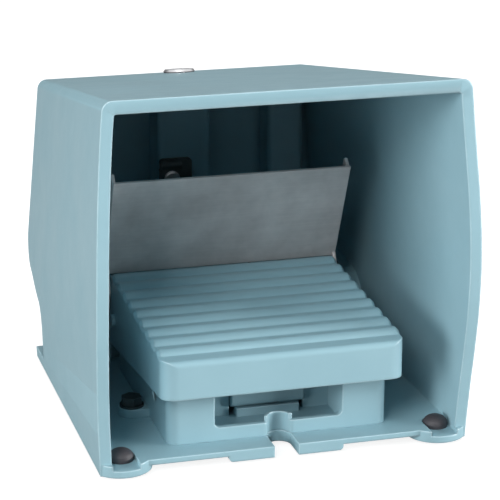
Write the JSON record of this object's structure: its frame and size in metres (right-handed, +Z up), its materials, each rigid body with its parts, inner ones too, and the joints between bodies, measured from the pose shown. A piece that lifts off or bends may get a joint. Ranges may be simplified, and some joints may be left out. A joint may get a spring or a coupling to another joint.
{
  "type": "industrial foot switch",
  "caption": "Guarded industrial foot switch: a cast hood over a ribbed heel-hinged pedal with a toe latch, snap switches and a cable gland.",
  "frame": {"origin": "on the ground under the middle of the whole switch, between its feet's undersides", "axes": "+Z up, -Y towards the open front where the foot goes in, +X to the right as seen from the front"},
  "size_m": [0.1636, 0.2056, 0.1607],
  "materials": {
    "enamel": "smooth semi-gloss blue-grey enamel on an aluminium casting",
    "zinc": "zinc-plated steel",
    "stainless": "brushed stainless sheet",
    "steel": "bright steel",
    "spring_steel": "oiled spring steel",
    "rubber": "matt black moulded rubber",
    "brass": "bright brass",
    "nickel": "nickel-plated brass",
    "switch_black": "black moulded plastic",
    "button_red": "red moulded plastic",
    "block_grey": "pale grey moulded plastic"
  },
  "bodies": {
    "base": {"guard_housing": "enamel", "guard_floor": "enamel", "rubber_feet": "rubber", "socket_plug": "zinc", "plug_washer": "rubber", "earth_saddle": "steel", "earth_saddle_screw": "zinc", "base_housing": "enamel", "base_screws": "zinc", "base_cover": "zinc", "cover_gasket": "rubber", "cover_screws": "zinc", "hinge_pin": "steel", "return_springs": "spring_steel", "stop_buffers": "rubber", "plunger_bush": "brass", "plunger_boot": "rubber", "switch_bodies": "switch_black", "switch_terminals": "brass", "switch_screws": "zinc", "terminal_block": "block_grey", "terminal_screws": "zinc", "earth_screw": "brass", "gland_body": "nickel", "gland_washer": "rubber", "gland_seal": "rubber", "gland_cap": "nickel"},
    "pedal": {"pedal": "enamel", "hinge_bushes": "brass", "striker_screw": "zinc", "latch_pin": "steel", "latch_clips": "spring_steel", "latch_spring": "spring_steel"},
    "latch": {"latch_plate": "stainless"},
    "plunger": {"plunger": "steel"},
    "buttons": {"switch_buttons": "button_red"}
  },
  "joints": [
    {"name": "pedal_press", "type": "hinge", "parent": "base", "child": "pedal", "pos_m": [0, -0.05772, 0.0215], "axis": [-1, 0, 0], "range_deg": [0, 6], "stiffness_Nm_per_rad": 10, "springref_deg": -5.16, "deforming": ["return_springs", "plunger_boot"]},
    {"name": "latch_tilt", "type": "hinge", "parent": "pedal", "child": "latch", "pos_m": [0, 0.01128, 0.047], "axis": [-1, 0, 0], "range_deg": [0, 27], "stiffness_Nm_per_rad": 0.15, "springref_deg": -28.65, "deforming": ["latch_spring"]},
    {"name": "plunger_slide", "type": "slide", "parent": "base", "child": "plunger", "axis": [0, 0, -1], "range_m": [0, 0.003], "stiffness_N_per_m": 500, "springref_m": -0.002},
    {"name": "button_slide", "type": "slide", "parent": "base", "child": "buttons", "axis": [0, 0, -1], "range_m": [0, 0.00275], "stiffness_N_per_m": 60, "springref_m": -0.003}
  ],
  "couplings": [
    {"joint": "latch_tilt", "follows": "pedal_press", "ratio": 4.5},
    {"joint": "plunger_slide", "follows": "pedal_press", "m_per_rad": 0.02859},
    {"joint": "button_slide", "follows": "pedal_press", "m_per_rad": 0.0262}
  ]
}
